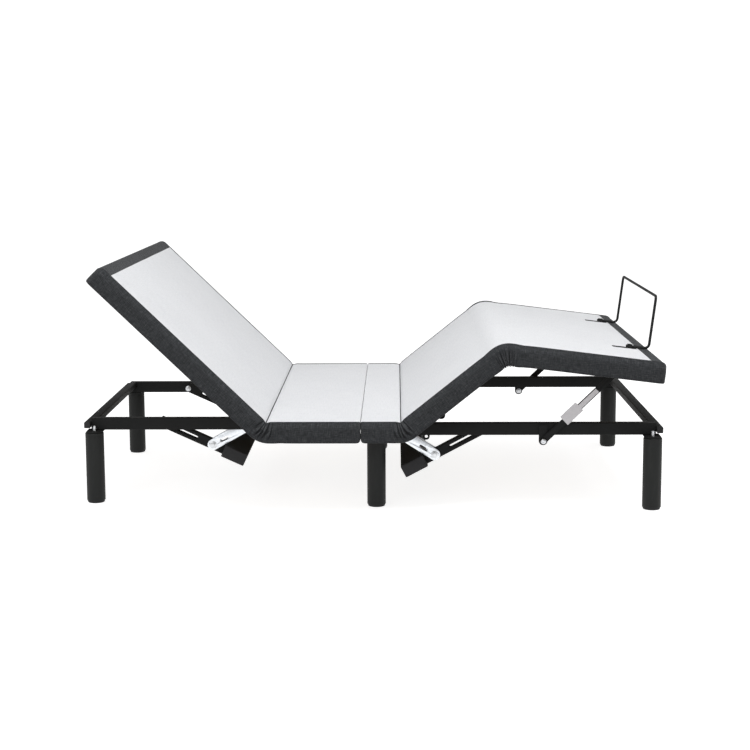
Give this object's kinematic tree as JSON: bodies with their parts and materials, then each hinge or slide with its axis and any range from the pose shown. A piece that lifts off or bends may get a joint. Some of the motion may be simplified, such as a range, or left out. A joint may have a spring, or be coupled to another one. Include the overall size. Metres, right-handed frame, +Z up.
{
  "type": "adjustable bed base",
  "caption": "Upholstered adjustable bed base with a jointed deck that lifts at the head and the knees, on a black steel frame with round legs and a mattress retainer bar.",
  "frame": {"origin": "on the floor under the middle of the steel frame", "axes": "+X from the head end to the foot end, +Y to the sleeper's left side, +Z up"},
  "size_m": [1.867, 1.346, 0.7941],
  "materials": {
    "black_steel": "satin powder coat",
    "leg_black": "matte",
    "zinc": "bright zinc plate",
    "board": "raw panel",
    "dark_linen": "charcoal linen weave",
    "pale_linen": "pale grey plain weave",
    "motor_plastic": "matte",
    "tag_paper": "matte tag"
  },
  "bodies": {
    "base": {"head_rail_left": "black_steel", "head_rail_right": "black_steel", "foot_rail_left": "black_steel", "foot_rail_right": "black_steel", "head_end_frame": "black_steel", "foot_end_frame": "black_steel", "head_seat_bar": "black_steel", "foot_seat_bar": "black_steel", "leg_head_left": "leg_black", "leg_head_right": "leg_black", "leg_middle_left": "leg_black", "leg_middle_right": "leg_black", "leg_foot_left": "leg_black", "leg_foot_right": "leg_black", "leg_plate_head_left": "black_steel", "leg_plate_head_right": "black_steel", "leg_plate_middle_left": "black_steel", "leg_plate_middle_right": "black_steel", "leg_plate_foot_left": "black_steel", "leg_plate_foot_right": "black_steel", "head_truss_arm_left": "black_steel", "head_truss_arm_right": "black_steel", "head_hanger_left": "zinc", "head_hanger_right": "zinc", "head_beam": "black_steel", "thigh_truss_arm_left": "black_steel", "thigh_truss_arm_right": "black_steel", "thigh_hanger_left": "zinc", "thigh_hanger_right": "zinc", "thigh_beam": "black_steel", "seat_board": "board", "seat_pad": "dark_linen", "front_seat_board": "board", "front_seat_pad": "dark_linen", "head_hinge_rod": "zinc", "thigh_hinge_rod": "zinc", "control_box": "motor_plastic", "link_tab_left": "black_steel", "link_tab_right": "black_steel"},
    "head_deck": {"head_board": "board", "head_pad": "dark_linen", "head_subframe": "black_steel"},
    "thigh_deck": {"thigh_board": "board", "thigh_pad": "dark_linen", "thigh_subframe": "black_steel", "knee_hinge_rod": "zinc"},
    "calf_deck": {"calf_board": "board", "calf_pad": "dark_linen", "calf_subframe": "black_steel", "retainer_bar": "black_steel", "retainer_clip_left": "black_steel", "retainer_clip_right": "black_steel", "link_bracket_left": "black_steel", "link_bracket_right": "black_steel"},
    "link_left": {"foot_link_left": "black_steel"},
    "link_right": {"foot_link_right": "black_steel"},
    "head_drive": {"head_motor": "motor_plastic"},
    "head_rod": {"head_drive_rod": "zinc"},
    "thigh_drive": {"thigh_motor": "motor_plastic"},
    "thigh_rod": {"thigh_drive_rod": "zinc"}
  },
  "joints": [
    {"name": "head_lift", "type": "hinge", "parent": "base", "child": "head_deck", "pos_m": [-0.33, 0, 0.28], "axis": [0, 1, 0], "range_deg": [-44.1, 13.9]},
    {"name": "thigh_lift", "type": "hinge", "parent": "base", "child": "thigh_deck", "pos_m": [0.106, 0, 0.28], "axis": [0, -1, 0], "range_deg": [-38.6, 6.4]},
    {"name": "knee_fold", "type": "hinge", "parent": "thigh_deck", "child": "calf_deck", "pos_m": [0.4147, 0, 0.52643], "axis": [0, 1, 0], "range_deg": [-45.8, 7.7]},
    {"name": "foot_link_swing_left", "type": "hinge", "parent": "base", "child": "link_left", "pos_m": [0.5535, 0.5252, 0.218], "axis": [0, -1, 0], "range_deg": [-39.1, 6.6]},
    {"name": "foot_link_swing_right", "type": "hinge", "parent": "base", "child": "link_right", "pos_m": [0.5535, -0.5252, 0.218], "axis": [0, -1, 0], "range_deg": [-39.1, 6.6]},
    {"name": "head_motor_swing", "type": "hinge", "parent": "base", "child": "head_drive", "pos_m": [-0.41, 0, 0.19], "axis": [0, 1, 0], "range_deg": [-45.1, 14.3]},
    {"name": "head_rod_slide", "type": "slide", "parent": "head_drive", "child": "head_rod", "axis": [-0.5925, 0, 0.8056], "range_m": [-0.0895, 0.0283]},
    {"name": "thigh_motor_swing", "type": "hinge", "parent": "base", "child": "thigh_drive", "pos_m": [0.1147, 0, 0.1836], "axis": [0, -1, 0], "range_deg": [-33.3, 5.6]},
    {"name": "thigh_rod_slide", "type": "slide", "parent": "thigh_drive", "child": "thigh_rod", "axis": [0.7191, 0, 0.6949], "range_m": [-0.0582, 0.0097]}
  ],
  "couplings": [
    {"joint": "knee_fold", "follows": "thigh_lift", "ratio": 1.1839},
    {"joint": "foot_link_swing_left", "follows": "thigh_lift", "ratio": 1.01},
    {"joint": "foot_link_swing_right", "follows": "thigh_lift", "ratio": 1.01},
    {"joint": "head_motor_swing", "follows": "head_lift", "ratio": 1.02},
    {"joint": "head_rod_slide", "follows": "head_lift", "m_per_rad": 0.116},
    {"joint": "thigh_motor_swing", "follows": "thigh_lift", "ratio": 0.86},
    {"joint": "thigh_rod_slide", "follows": "thigh_lift", "m_per_rad": 0.086}
  ]
}
